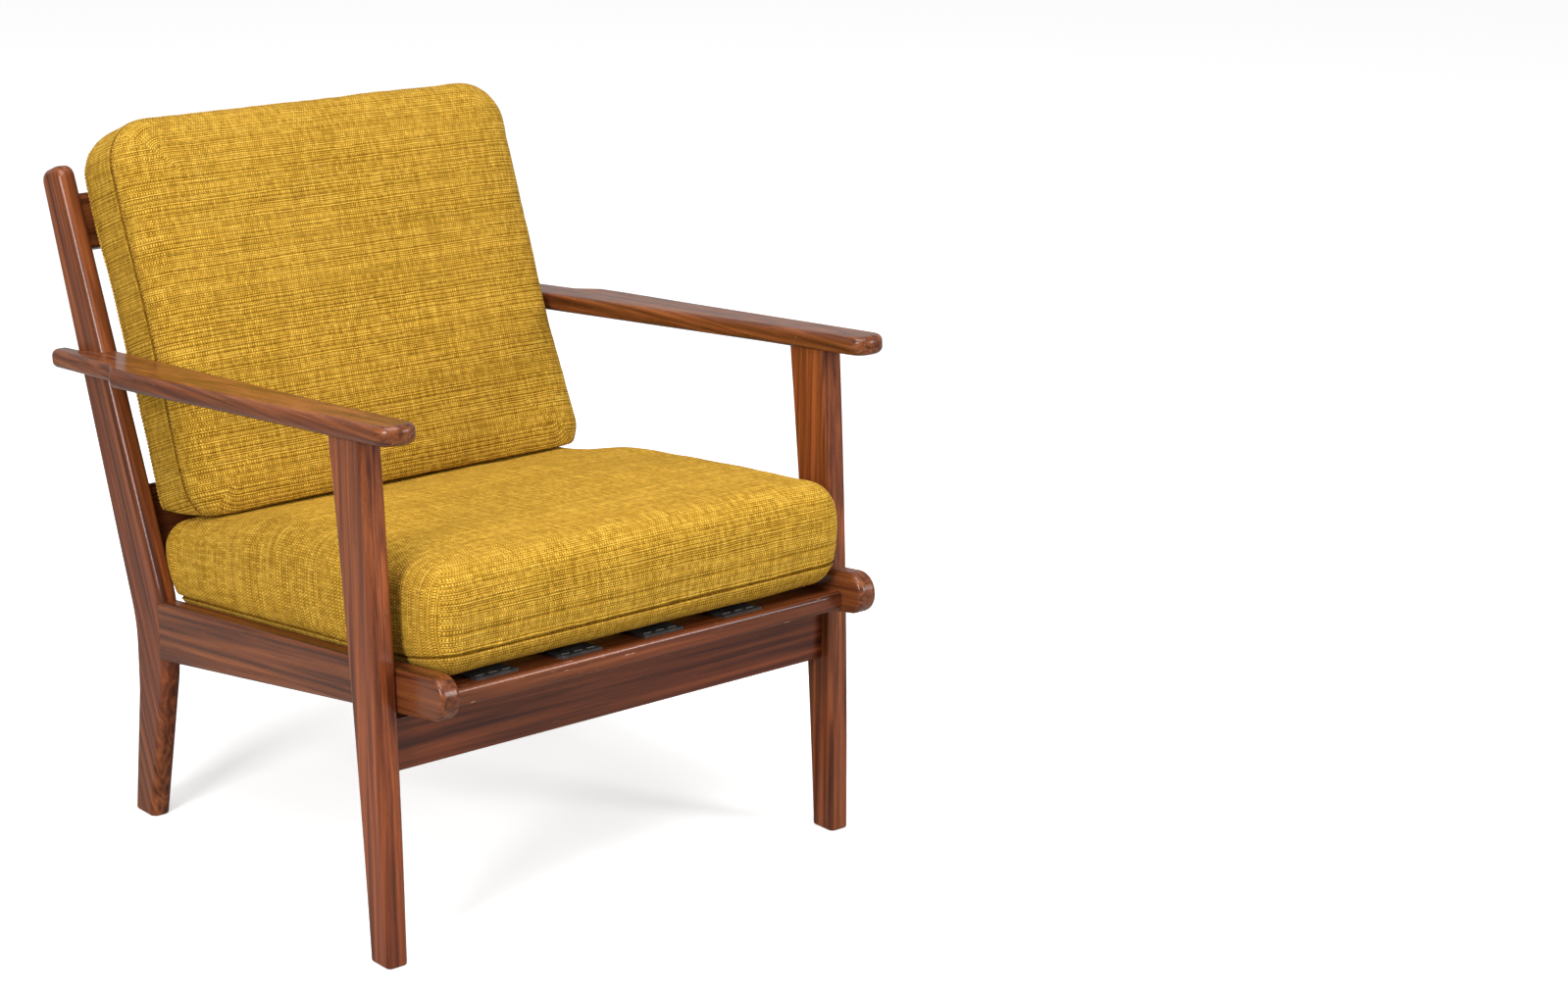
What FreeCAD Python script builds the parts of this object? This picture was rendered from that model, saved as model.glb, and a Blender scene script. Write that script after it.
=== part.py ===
import FreeCAD, Part
import math
import os
import Sketcher

# Lounge chair with an open wooden frame, rubber seat webbing and two loose cushions.
# Millimetres. +Z is up, the sitter faces -Y, and X = 0 is the plane of symmetry.
# Floor under the feet is Z = 0. "right" pieces lie at +X, "left" ones are their mirror.

os.makedirs("parts", exist_ok=True)
doc = FreeCAD.newDocument("lounge_chair")
Vector = FreeCAD.Vector
X_AXIS = Vector(1, 0, 0)
Y_AXIS = Vector(0, 1, 0)

# ---------------------------------------------------------------- driving dimensions
DIMENSIONS = {
    # seat frame
    "rail_inner_x": 291, "rail_thick": 26, "seat_slope": 6.22, "rail_top_level": 313,
    "rail_bottom_level": 244.3, "rail_bottom_slope": 8.64, "rail_nose_y": -427.5, "nose_round": 25,
    "rail_arris": 6, "rail_end_y": 180.5, "stile_arris": 9,
    "slat_front_y": -393, "slat_depth": 62, "slat_thick": 22, "slat_drop": 24.6,
    "slat_lip": 6, "slat_arris": 2, "rear_slat_y": 83.5, "housing": 8,
    "stretcher_front_y": -327.5, "stretcher_thick": 22, "stretcher_bottom": 223,
    "stretcher_tall": 64, "stretcher_tenon": 10, "board_arris": 3,
    # front legs
    "front_leg_thick": 31, "front_leg_foot_thick": 28, "front_leg_arris": 7,
    "foot_round": 3,
    # armrests
    "arm_level": 608.7, "arm_slope": 4.75, "arm_thick": 23, "arm_arris": 8,
    # backrest frame
    "back_rake": 21.8, "back_plane_y": 354.5, "back_plane_z": 702, "back_rail_thick": 22,
    "top_rail_tall": 70, "lower_rail_tall": 94, "lower_rail_foot": 392, "back_rail_tenon": 12,
    "back_rail_arris": 5,
    "back_slat_wide": 36, "back_slat_thick": 9, "back_slat_tenon": 12, "back_slat_pitch": 92,
    # webbing
    "strap_wide": 57, "strap_thick": 2.4, "strap_front_gap": 13, "strap_rear_gap": 12,
    "strap_first_x": -209.5, "strap_pitch": 118.7,
    # cushions
    "seat_half_wide": 288, "seat_front_y": -384, "seat_long": 575, "seat_tall": 146,
    "seat_tall_rear": 127, "seat_clearance": 1.2,
    "back_half_wide": 287, "back_aside": 2, "back_tall_rear": 828, "back_deep": 120,
    "cushion_round": 20, "cushion_gap": 0.6, "cover_thick": 3,
    # fasteners
    "dowel_dia": 10, "dowel_long": 44, "arm_dowel_long": 40, "screw_dia": 5,
    "screw_head_dia": 10, "screw_long": 45, "stile_dowel_dia": 8, "stile_dowel_long": 32,
    "stile_dowel_y": 322, "rail_dowel_y": 174.5, "arm_dowel_sunk": 6,
    "staple_wide": 11, "staple_wire_deep": 1.2, "staple_wire_thick": 0.8, "prong_wide": 1,
    "prong_long": 7.4, "prong_sunk": 7, "staple_pitch": 18, "staple_end_gap": 9,
}

sheet = doc.addObject("Spreadsheet::Sheet", "Dims")
for row, (alias, number) in enumerate(DIMENSIONS.items(), start=1):
    sheet.set(f"A{row}", alias)
    sheet.set(f"B{row}", str(number))
    sheet.setAlias(f"B{row}", alias)
doc.recompute()


class Size:
    """A number together with the sheet expression that yields it."""

    def __init__(self, value, text=None):
        self.value = float(value)
        self.text = text if text else repr(float(value))

    def _join(self, other, sign, result):
        other = size(other)
        return Size(result(self.value, other.value), f"({self.text} {sign} {other.text})")

    def __add__(self, other):
        return self._join(other, "+", lambda a, b: a + b)

    def __sub__(self, other):
        return self._join(other, "-", lambda a, b: a - b)

    def __mul__(self, other):
        return self._join(other, "*", lambda a, b: a * b)

    def __truediv__(self, other):
        return self._join(other, "/", lambda a, b: a / b)

    def __neg__(self):
        return Size(-self.value, f"(0 - {self.text})")

    def trig(self, name):
        turn = getattr(math, name)(math.radians(self.value))
        return Size(turn, f"{name}({self.text} * 1 deg)")


def size(thing):
    return thing if isinstance(thing, Size) else Size(thing)


class Named:
    """Attribute access to the sheet's cells, as sizes."""

    def __getattr__(self, alias):
        return Size(DIMENSIONS[alias], f"Dims.{alias}")


D = Named()
rail_outer_x = D.rail_inner_x + D.rail_thick
seat_fall = D.seat_slope.trig("tan")
arm_fall = D.arm_slope.trig("tan")
rake_sin = D.back_rake.trig("sin")
rake_cos = D.back_rake.trig("cos")
rake_tan = D.back_rake.trig("tan")


def rail_top(y):
    return D.rail_top_level - seat_fall * y


def rail_bottom(y):
    return D.rail_bottom_level - D.rail_bottom_slope.trig("tan") * y


def slat_top(y):
    return rail_top(y) - D.slat_drop


def arm_top(y):
    return D.arm_level - arm_fall * y


def arm_bottom(y):
    return arm_top(y) - D.arm_thick


def back_front_y(z):
    """Y of the front face of the two back rails at height z."""
    return D.back_plane_y + rake_tan * (size(z) - D.back_plane_z)


# ---------------------------------------------------------------- modelling helpers
def bind(thing, path, amount):
    thing.setExpression(path, size(amount).text)


def place(thing, x=0, y=0, z=0, turn_x=None, prefix="Placement"):
    """Bind a placement: position, and a turn about X in degrees."""
    turn = size(turn_x if turn_x is not None else 0)
    rotation = FreeCAD.Rotation(X_AXIS, turn.value)
    spot = Vector(size(x).value, size(y).value, size(z).value)
    setattr(thing, prefix, FreeCAD.Placement(spot, rotation))
    for letter, amount in zip("xyz", (x, y, z)):
        bind(thing, f"{prefix}.Base.{letter}", amount)
    if turn_x is not None:
        bind(thing, f"{prefix}.Rotation.Angle", turn)


def new_body(name):
    return doc.addObject("PartDesign::Body", name)


def new_sketch(body, name, role):
    sketch = body.newObject("Sketcher::SketchObject", name)
    plane = [f for f in body.Origin.OriginFeatures if f.Role == role][0]
    sketch.AttachmentSupport = [(plane, "")]
    sketch.MapMode = "FlatFace"
    return sketch


def pin(sketch, side, end, point):
    """Hold one end of a sketch side at a bound position."""
    for kind, amount in zip(("DistanceX", "DistanceY"), point):
        index = sketch.addConstraint(
            Sketcher.Constraint(kind, -1, 1, side, end, size(amount).value))
        bind(sketch, f"Constraints[{index}]", amount)


def bowed(near, far, bow):
    """Arc whose middle stands bow to the left of the run from near to far.

    A sketch takes arcs turning leftward, so a left bow runs from far to near. Also returns
    which end of the arc lies at near and which at far.
    """
    run = far - near
    leftward = Vector(-run.y, run.x, 0).normalize()
    middle = (near + far) * 0.5 + leftward * bow
    if bow > 0:
        return Part.Arc(far, middle, near), (2, 1)
    return Part.Arc(near, middle, far), (1, 2)


def polygon(sketch, points, bows=()):
    """Closed outline whose corners are bound to the sheet; bows are side number: bow."""
    bows = dict(bows)
    spots = [Vector(size(a).value, size(b).value, 0) for a, b in points]
    count = len(points)
    ends = []
    for i in range(count):
        near, far = spots[i], spots[(i + 1) % count]
        if i not in bows:
            sketch.addGeometry(Part.LineSegment(near, far))
            ends.append((1, 2))
            continue
        arc, arc_ends = bowed(near, far, bows[i])
        sketch.addGeometry(arc)
        sketch.addConstraint(Sketcher.Constraint("Radius", i, sketch.Geometry[i].Radius))
        ends.append(arc_ends)
    for i in range(count):
        after = (i + 1) % count
        sketch.addConstraint(
            Sketcher.Constraint("Coincident", i, ends[i][1], after, ends[after][0]))
    for i in range(count):
        pin(sketch, i, ends[i][0], points[i])


def padded_outline(name, role, points, length, both_ways=False, offset=None, bows=()):
    """Body with one pad of a bound outline; offset places the sketch plane."""
    body = new_body(name)
    sketch = new_sketch(body, f"{name}_outline", role)
    if offset:
        place(sketch, *offset, prefix="AttachmentOffset")
    polygon(sketch, points, bows)
    pad = body.newObject("PartDesign::Pad", f"{name}_pad")
    pad.Profile = sketch
    bind(pad, "Length", length)
    pad.Midplane = both_ways
    doc.recompute()
    return body


def runs_along(edge, axis):
    """True where a straight edge is parallel to axis."""
    if edge.Curve.TypeId != "Part::GeomLine":
        return False
    return abs(abs(edge.Curve.Direction.dot(axis)) - 1) < 1e-6


def corner_at(y, z):
    """Test for the edge across a plank's thickness that passes through (y, z)."""
    def test(edge):
        middle = edge.BoundBox.Center
        return runs_along(edge, X_AXIS) and abs(middle.y - y) < 1 and abs(middle.z - z) < 1
    return test


def round_edges(body, name, radius, chosen):
    """PartDesign fillet on the edges of the body's tip for which chosen(edge) holds."""
    base = body.Tip
    names = [f"Edge{i}" for i, e in enumerate(base.Shape.Edges, start=1) if chosen(e)]
    fillet = body.newObject("PartDesign::Fillet", name)
    fillet.Base = (base, names)
    bind(fillet, "Radius", radius)
    doc.recompute()
    return fillet


def box(name, length, width, height):
    block = doc.addObject("Part::Box", name)
    bind(block, "Length", length)
    bind(block, "Width", width)
    bind(block, "Height", height)
    return block


def fillet_all(name, source, radius, chosen=lambda edge: True):
    doc.recompute()
    fillet = doc.addObject("Part::Fillet", name)
    fillet.Base = source
    radius = size(radius).value
    fillet.Edges = [(i, radius, radius)
                    for i, e in enumerate(source.Shape.Edges, start=1) if chosen(e)]
    doc.recompute()
    return fillet


def peg(name, x, y, z, axis, diameter, length):
    """Round dowel of the given length, centred on (x, y, z) along axis."""
    cylinder = doc.addObject("Part::Cylinder", name)
    bind(cylinder, "Radius", size(diameter) / 2)
    bind(cylinder, "Height", length)
    half = size(length) / 2
    start = [size(v) - half * size(a) for v, a in zip((x, y, z), axis)]
    turn = FreeCAD.Rotation(Vector(0, 0, 1), Vector(*axis))
    cylinder.Placement = FreeCAD.Placement(Vector(*(v.value for v in start)), turn)
    for letter, amount in zip("xyz", start):
        bind(cylinder, f"Placement.Base.{letter}", amount)
    return cylinder


def minus(name, base, tools):
    """Base with the space of every tool taken out of it."""
    cutter = tools[0]
    if len(tools) > 1:
        cutter = doc.addObject("Part::MultiFuse", f"{name}_space")
        cutter.Shapes = tools
    cut = doc.addObject("Part::Cut", f"{name}_cut")
    cut.Base = base
    cut.Tool = cutter
    doc.recompute()
    return cut


def mirrored(name, source):
    mirror = doc.addObject("Part::Mirroring", name)
    mirror.Source = source
    mirror.Normal = X_AXIS
    mirror.Base = Vector(0, 0, 0)
    doc.recompute()
    return mirror


def group(name, members):
    """Separate solids of identical fasteners kept in one compound."""
    compound = doc.addObject("Part::Compound", name)
    compound.Links = members
    doc.recompute()
    return compound


sub_parts = {}


def hand_in(node, thing):
    thing.Label = node
    sub_parts[node] = thing


def hand_in_pair(node, right_thing):
    hand_in(f"{node}_right", right_thing)
    hand_in(f"{node}_left", mirrored(f"{node}_mirror", right_thing))


# ---------------------------------------------------------------- rear legs
# Each is one boomerang-shaped plank: the foot kicks back, the widest part takes the seat
# rail, and the stile above it leans back and thins towards its rounded end.
# (y, z, radius the outline turns with at that corner)
REAR_LEG = [(215.5, 0, 0), (172.5, 200, 100), (172.5, 293, 100), (387.5, 804, 15),
            (430.5, 787, 15), (241.5, 250, 150), (241.5, 165, 150), (262, 0, 0)]
rear_post = padded_outline("rear_post", "YZ_Plane", [(y, z) for y, z, radius in REAR_LEG],
                           D.rail_thick, offset=(0, 0, D.rail_inner_x))
for number, (y, z, radius) in enumerate(REAR_LEG):
    if radius:
        round_edges(rear_post, f"rear_post_turn_{number}", radius, corner_at(y, z))
round_edges(rear_post, "rear_post_arrises", D.stile_arris,
            lambda e: e.BoundBox.XLength < 0.01 and e.BoundBox.ZMax > 1)
round_edges(rear_post, "rear_post_foot", D.foot_round, lambda e: e.BoundBox.ZMax < 0.1)

# ---------------------------------------------------------------- front legs
# Post outside the seat rail: wide under the armrest, tapering to the foot in side view, and
# a little on its outer face too. Its top is cut to the slope of the armrest.
TOP_FRONT_Y = -321.5
TOP_REAR_Y = -256.5
FRONT_LEG = [(-353.5, 0), (-314.5, 0), (TOP_REAR_Y, arm_bottom(TOP_REAR_Y)),
             (TOP_FRONT_Y, arm_bottom(TOP_FRONT_Y))]
REAR_EDGE_BOW = 4.5
FRONT_EDGE_BOW = -5
front_blank = padded_outline("front_blank", "YZ_Plane", FRONT_LEG, D.front_leg_thick,
                             offset=(0, 0, rail_outer_x),
                             bows={1: REAR_EDGE_BOW, 3: FRONT_EDGE_BOW})
leg_outer_x = rail_outer_x + D.front_leg_thick
TAPER_END_Z = 660
TAPER_CUT_DEEP = 900
taper_waste = padded_outline("taper_waste", "XZ_Plane", [
    (rail_outer_x + D.front_leg_foot_thick, -1), (leg_outer_x + 2, -1),
    (leg_outer_x + 2, TAPER_END_Z), (leg_outer_x, TAPER_END_Z)], TAPER_CUT_DEEP, True)
front_tapered = fillet_all("front_tapered", minus("front_blank", front_blank, [taper_waste]),
                           D.front_leg_arris, lambda e: e.BoundBox.ZLength > 200)
front_post = fillet_all("front_post", front_tapered, D.foot_round,
                        lambda e: e.BoundBox.ZMax < 0.1)

# ---------------------------------------------------------------- armrests
# Paddle in plan: straight inner edge, widest just ahead of the stile, a rounded tip over
# the front leg, and behind a small shoulder a narrow tail that passes outside the stile.
ARM_PLAN = [
    (size(312), size(-395.5)), (size(361), size(-395.5)), (size(366), size(-24.5)),
    (size(370), size(125.5)), (size(369.5), size(179.5)), (size(351), size(213.5)),
    (size(343), size(378.5)), (rail_outer_x, size(378.5)), (rail_outer_x, size(325.5)),
    (D.rail_inner_x, size(325.5)), (D.rail_inner_x, size(293.5)), (size(309.5), size(-204.5)),
]
arm_blank = padded_outline("arm_blank", "XY_Plane", ARM_PLAN, D.arm_thick,
                           offset=(0, 0, D.arm_level - D.arm_thick, -D.arm_slope))
# plan corners: radius by which corner of the outline it rounds
ARM_CORNERS = {0: 21, 1: 24, 4: 9, 5: 8, 6: 12, 7: 9}


def stands_at(corner):
    spot_x, spot_y = (v.value for v in ARM_PLAN[corner])

    def test(edge):
        middle = edge.BoundBox.Center
        upright = edge.BoundBox.ZLength > 20 and edge.BoundBox.XLength < 0.1
        return upright and abs(middle.x - spot_x) < 1 and abs(middle.y - spot_y) < 4
    return test


for corner, radius in ARM_CORNERS.items():
    round_edges(arm_blank, f"arm_blank_corner_{corner}", radius, stands_at(corner))


def arm_rim(edge):
    """Long top and bottom edges, apart from those that meet the stile."""
    span = edge.BoundBox
    if edge.Curve.TypeId == "Part::GeomLine" and span.ZLength > 15 and span.YLength < 5:
        return False
    meets_stile = span.YMin > 285 and span.XMax < rail_outer_x.value + 0.1
    return not meets_stile


round_edges(arm_blank, "arm_blank_rim", D.arm_arris, arm_rim)

# ---------------------------------------------------------------- side rails
nose_y = D.rail_nose_y
rail_blank = padded_outline("rail_blank", "YZ_Plane", [
    (nose_y, rail_bottom(nose_y)), (D.rail_end_y, rail_bottom(D.rail_end_y)),
    (D.rail_end_y, rail_top(D.rail_end_y)), (nose_y, rail_top(nose_y))],
    D.rail_thick, offset=(0, 0, D.rail_inner_x))
round_edges(rail_blank, "rail_blank_nose", D.nose_round,
            lambda e: runs_along(e, X_AXIS) and e.BoundBox.YMax < nose_y.value + 1)
round_edges(rail_blank, "rail_blank_arrises", D.rail_arris,
            lambda e: e.BoundBox.XLength < 0.01 and e.BoundBox.YMin < 165)


# ---------------------------------------------------------------- seat slats
def seat_slat(name, front_y):
    """Slat tilted with the seat, housed at both ends in the side rails."""
    rear_y = size(front_y) + D.slat_depth
    points = [(front_y, slat_top(front_y) - D.slat_thick), (rear_y, slat_top(rear_y) - D.slat_thick),
              (rear_y, slat_top(rear_y)), (front_y, slat_top(front_y))]
    body = padded_outline(name, "YZ_Plane", points, (D.rail_inner_x + D.housing) * 2, True)
    top = slat_top(front_y).value
    round_edges(body, f"{name}_lip", D.slat_lip, lambda e: runs_along(e, X_AXIS)
                and e.BoundBox.YMax < size(front_y).value + 1 and e.BoundBox.ZMin > top - 1)
    round_edges(body, f"{name}_arrises", D.slat_arris, lambda e: runs_along(e, X_AXIS)
                and e.BoundBox.Center.z < top - 12)
    return body


front_slat = seat_slat("front_slat_board", D.slat_front_y)
rear_slat = seat_slat("rear_slat_board", D.rear_slat_y)

# ---------------------------------------------------------------- front stretcher
stretcher_block = box("stretcher_block", (rail_outer_x + D.stretcher_tenon) * 2,
                      D.stretcher_thick, D.stretcher_tall)
place(stretcher_block, -(rail_outer_x + D.stretcher_tenon), D.stretcher_front_y,
      D.stretcher_bottom)
stretcher = fillet_all("stretcher_board", stretcher_block, D.board_arris,
                       lambda e: runs_along(e, X_AXIS))


# ---------------------------------------------------------------- back rails and slats
def back_board(name, along, tall, set_back, thick, half_long, centre_x=0):
    """Board in the leaning plane of the back; along is measured up that plane."""
    block = box(name, size(half_long) * 2, thick, tall)
    foot_z = D.back_plane_z + rake_cos * size(along) - rake_sin * set_back
    foot_y = D.back_plane_y + rake_sin * size(along) + rake_cos * set_back
    place(block, size(centre_x) - size(half_long), foot_y, foot_z, -D.back_rake)
    return block


lower_rail_base = -D.lower_rail_foot
rail_half = D.rail_inner_x + D.back_rail_tenon
top_rail_board = fillet_all(
    "top_rail_board", back_board("top_rail_block", 0, D.top_rail_tall, 0,
                                 D.back_rail_thick, rail_half),
    D.back_rail_arris, lambda e: runs_along(e, X_AXIS))
lower_rail_board = fillet_all(
    "lower_rail_board", back_board("lower_rail_block", lower_rail_base, D.lower_rail_tall, 0,
                                   D.back_rail_thick, rail_half),
    D.back_rail_arris, lambda e: runs_along(e, X_AXIS))
slat_foot = lower_rail_base + D.lower_rail_tall - D.back_slat_tenon
slat_long = D.back_slat_tenon - slat_foot
slat_inset = (D.back_rail_thick - D.back_slat_thick) / 2
back_slats = []
for number in range(5):
    block = back_board(f"back_slat_block_{number + 1}", slat_foot, slat_long, slat_inset,
                       D.back_slat_thick, D.back_slat_wide / 2,
                       D.back_slat_pitch * (number - 2))
    slat = fillet_all(f"back_slat_board_{number + 1}", block, D.board_arris,
                      lambda e: abs(e.BoundBox.XLength) < 0.01 and e.Length > 100)
    back_slats.append(slat)
    hand_in(f"back_slat_{number + 1}", slat)

# ---------------------------------------------------------------- dowels and screws
rail_mid_x = D.rail_inner_x + D.rail_thick / 2
leg_mid_x = rail_outer_x + D.front_leg_thick / 2
rail_dowels = [peg(f"rail_dowel_{i}", rail_mid_x, D.rail_dowel_y, z, (0, 1, 0),
                   D.dowel_dia, D.dowel_long) for i, z in enumerate((240, 270))]
arm_dowels = [peg(f"arm_dowel_{i}", leg_mid_x, y, arm_bottom(y) - D.arm_dowel_sunk, (0, 0, 1),
                  D.dowel_dia, D.arm_dowel_long) for i, y in enumerate((-275, -305))]
stile_dowel = peg("stile_dowel", rail_outer_x + 1, D.stile_dowel_y,
                  arm_top(D.stile_dowel_y) - D.arm_thick / 2, (1, 0, 0),
                  D.stile_dowel_dia, D.stile_dowel_long)
right_dowels = rail_dowels + arm_dowels + [stile_dowel]

leg_screws = []
for number, (y, z) in enumerate(((-321.5, 306), (-299.5, 334))):
    shank = peg(f"screw_shank_{number}", D.rail_inner_x + D.screw_long / 2, y, z, (1, 0, 0),
                D.screw_dia, D.screw_long)
    head = doc.addObject("Part::Cone", f"screw_head_{number}")
    bind(head, "Radius1", D.screw_head_dia / 2)
    bind(head, "Radius2", D.screw_dia / 2)
    bind(head, "Height", (D.screw_head_dia - D.screw_dia) / 2)
    turn = FreeCAD.Rotation(Vector(0, 0, 1), X_AXIS)
    head.Placement = FreeCAD.Placement(Vector(D.rail_inner_x.value, y, z), turn)
    bind(head, "Placement.Base.x", D.rail_inner_x)
    screw = doc.addObject("Part::MultiFuse", f"screw_{number}")
    screw.Shapes = [shank, head]
    leg_screws.append(screw)
doc.recompute()

# ---------------------------------------------------------------- joints cut into the wood
arm_right = minus("arm_right", arm_blank, [rear_post, arm_dowels[0], arm_dowels[1], stile_dowel])
front_leg_right = minus("front_leg_right", front_post,
                        [stretcher, *arm_dowels, *leg_screws])
rear_leg_right = minus("rear_leg_right", rear_post,
                       [top_rail_board, lower_rail_board, *rail_dowels, stile_dowel])
side_rail_right = minus("side_rail_right", rail_blank,
                        [rear_post, front_slat, rear_slat, *rail_dowels, *leg_screws])
hand_in_pair("rear_leg", rear_leg_right)
hand_in_pair("front_leg", front_leg_right)
hand_in_pair("armrest", arm_right)
hand_in_pair("side_rail", side_rail_right)
hand_in("front_slat", front_slat)
hand_in("rear_slat", rear_slat)
hand_in("front_stretcher", stretcher)
hand_in("top_back_rail", minus("top_rail", top_rail_board, back_slats))
hand_in("lower_back_rail", minus("lower_rail", lower_rail_board, back_slats))


def both_sides(name, right_members):
    return group(name, right_members + [mirrored(f"{m.Name}_left", m) for m in right_members])


hand_in("side_rail_dowels", both_sides("side_rail_dowel_set", rail_dowels))
hand_in("armrest_dowels", both_sides("armrest_dowel_set", arm_dowels + [stile_dowel]))
hand_in("leg_screws", both_sides("leg_screw_set", leg_screws))

# ---------------------------------------------------------------- seat webbing
seat_cos = D.seat_slope.trig("cos")
strap_front_y = D.slat_front_y + D.strap_front_gap
strap_rear_y = D.rear_slat_y + D.slat_depth - D.strap_rear_gap
strap_long = (strap_rear_y - strap_front_y) / seat_cos
staples = []
for number in range(4):
    centre_x = D.strap_first_x + D.strap_pitch * number
    strap = box(f"strap_{number + 1}", D.strap_wide, strap_long, D.strap_thick)
    place(strap, centre_x - D.strap_wide / 2, strap_front_y, slat_top(strap_front_y),
          -D.seat_slope)
    hand_in(f"seat_strap_{number + 1}", strap)
    # staples: a crown lying across the strap, with a prong down at either end of it
    for end_y in (strap_front_y + D.staple_end_gap, strap_rear_y - D.staple_end_gap):
        for step in (-1, 0, 1):
            name = f"staple_{len(staples)}"
            crown = box(f"{name}_crown", D.staple_wide, D.staple_wire_deep, D.staple_wire_thick)
            prongs = [box(f"{name}_prong_{side}", D.prong_wide, D.staple_wire_deep, D.prong_long)
                      for side in (0, 1)]
            level = slat_top(end_y) + D.strap_thick / seat_cos
            left = centre_x + D.staple_pitch * step - D.staple_wide / 2
            place(crown, left, end_y, level, -D.seat_slope)
            for side, prong in enumerate(prongs):
                place(prong, left + (D.staple_wide - D.prong_wide) * side, end_y,
                      level - D.prong_sunk, -D.seat_slope)
            staple = doc.addObject("Part::MultiFuse", name)
            staple.Shapes = [crown, *prongs]
            staples.append(staple)
doc.recompute()
hand_in("strap_staples", group("strap_staple_set", staples))


# ---------------------------------------------------------------- loose cushions
def cushion(name, block, radius):
    """Sewn cover, closed all round, over a foam core that fills it."""
    outside = fillet_all(f"{name}_outside", block, radius)
    core = doc.addObject("Part::Offset", f"{name}_core_shape")
    core.Source = outside
    bind(core, "Value", -D.cover_thick)
    core.Join = 0
    doc.recompute()
    hand_in(f"{name}_core", core)
    hand_in(f"{name}_cover", minus(f"{name}_cover", outside, [core]))


# side outline of the seat cushion: thicker in front, pressed down where the back stands
seat_lift = D.strap_thick / seat_cos + D.seat_clearance
seat_rear_y = D.seat_front_y + D.seat_long
seat_taper = (D.seat_tall - D.seat_tall_rear) / D.seat_long


def seat_cushion_base(y):
    return slat_top(y) + seat_lift


def seat_cushion_top(y):
    return seat_cushion_base(y) + D.seat_tall - seat_taper * (size(y) - D.seat_front_y)


seat_block = padded_outline("seat_block", "YZ_Plane", [
    (D.seat_front_y, seat_cushion_base(D.seat_front_y)),
    (seat_rear_y, seat_cushion_base(seat_rear_y)),
    (seat_rear_y, seat_cushion_top(seat_rear_y)),
    (D.seat_front_y, seat_cushion_top(D.seat_front_y))], D.seat_half_wide * 2, True)
cushion("seat_cushion", seat_block, D.cushion_round)


# side outline of the back cushion: foot on the seat cushion, rear face on the back rails
def on_seat(plane_shift):
    """Where the back plane, moved forward by plane_shift, meets the seat cushion's top."""
    fall = seat_fall + seat_taper
    shift_y = size(plane_shift) / rake_cos
    reach = D.back_plane_y - shift_y - rake_tan * D.back_plane_z
    z = (seat_cushion_top(0) + D.cushion_gap - fall * reach) / (fall * rake_tan + 1)
    return reach + rake_tan * z, z


rear_shift = D.cushion_gap
front_shift = D.cushion_gap + D.back_deep
rear_top = (back_front_y(D.back_tall_rear) - rear_shift / rake_cos, D.back_tall_rear)
front_top = (rear_top[0] - D.back_deep * rake_cos, rear_top[1] + D.back_deep * rake_sin)
back_block = padded_outline("back_block", "YZ_Plane",
                            [on_seat(front_shift), on_seat(rear_shift), rear_top, front_top],
                            D.back_half_wide * 2, True, offset=(0, 0, D.back_aside))
cushion("back_cushion", back_block, D.cushion_round)

# ---------------------------------------------------------------- check and write
doc.recompute()
for thing in doc.Objects:
    if "Invalid" in thing.State or "Error" in thing.State:
        raise RuntimeError(f"{thing.Name} did not compute: {thing.State}")
for node, thing in sub_parts.items():
    shape = thing.Shape
    if shape.isNull() or not shape.isValid() or not shape.Solids:
        raise RuntimeError(f"{node} has no valid shape")
    shape.exportStep(os.path.join("parts", f"{node}.step"))
    span = shape.BoundBox
    print(f"{node:20s} solids {len(shape.Solids):2d}  volume {shape.Volume / 1000:8.1f} cm3  "
          f"x {span.XMin:7.1f} {span.XMax:7.1f}  y {span.YMin:7.1f} {span.YMax:7.1f}  "
          f"z {span.ZMin:7.1f} {span.ZMax:7.1f}")
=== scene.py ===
import bpy
import math
from mathutils import Matrix, Vector, noise
from mathutils.kdtree import KDTree


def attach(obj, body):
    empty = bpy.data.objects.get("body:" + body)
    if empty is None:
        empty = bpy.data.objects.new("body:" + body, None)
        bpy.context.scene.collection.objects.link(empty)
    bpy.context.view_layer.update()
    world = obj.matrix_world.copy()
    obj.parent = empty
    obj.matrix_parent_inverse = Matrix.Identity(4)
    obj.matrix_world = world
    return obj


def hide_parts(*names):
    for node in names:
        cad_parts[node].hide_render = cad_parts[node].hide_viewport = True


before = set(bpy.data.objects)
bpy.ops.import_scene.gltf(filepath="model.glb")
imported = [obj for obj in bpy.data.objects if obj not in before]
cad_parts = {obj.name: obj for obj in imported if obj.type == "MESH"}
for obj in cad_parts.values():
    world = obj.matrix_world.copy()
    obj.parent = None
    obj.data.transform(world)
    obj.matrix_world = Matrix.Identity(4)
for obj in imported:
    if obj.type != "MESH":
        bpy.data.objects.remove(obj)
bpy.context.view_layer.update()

MM = 0.001
SEAT_SLOPE = math.radians(6.22)      # the seat falls towards the back
BACK_RAKE = math.radians(21.8)       # the back leans away from the sitter


# ------------------------------------------------------------------ small helpers
def smooth(low, high, value):
    """0 below low, 1 above high, eased between."""
    part = min(max((value - low) / (high - low), 0.0), 1.0)
    return part * part * (3 - 2 * part)


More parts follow.
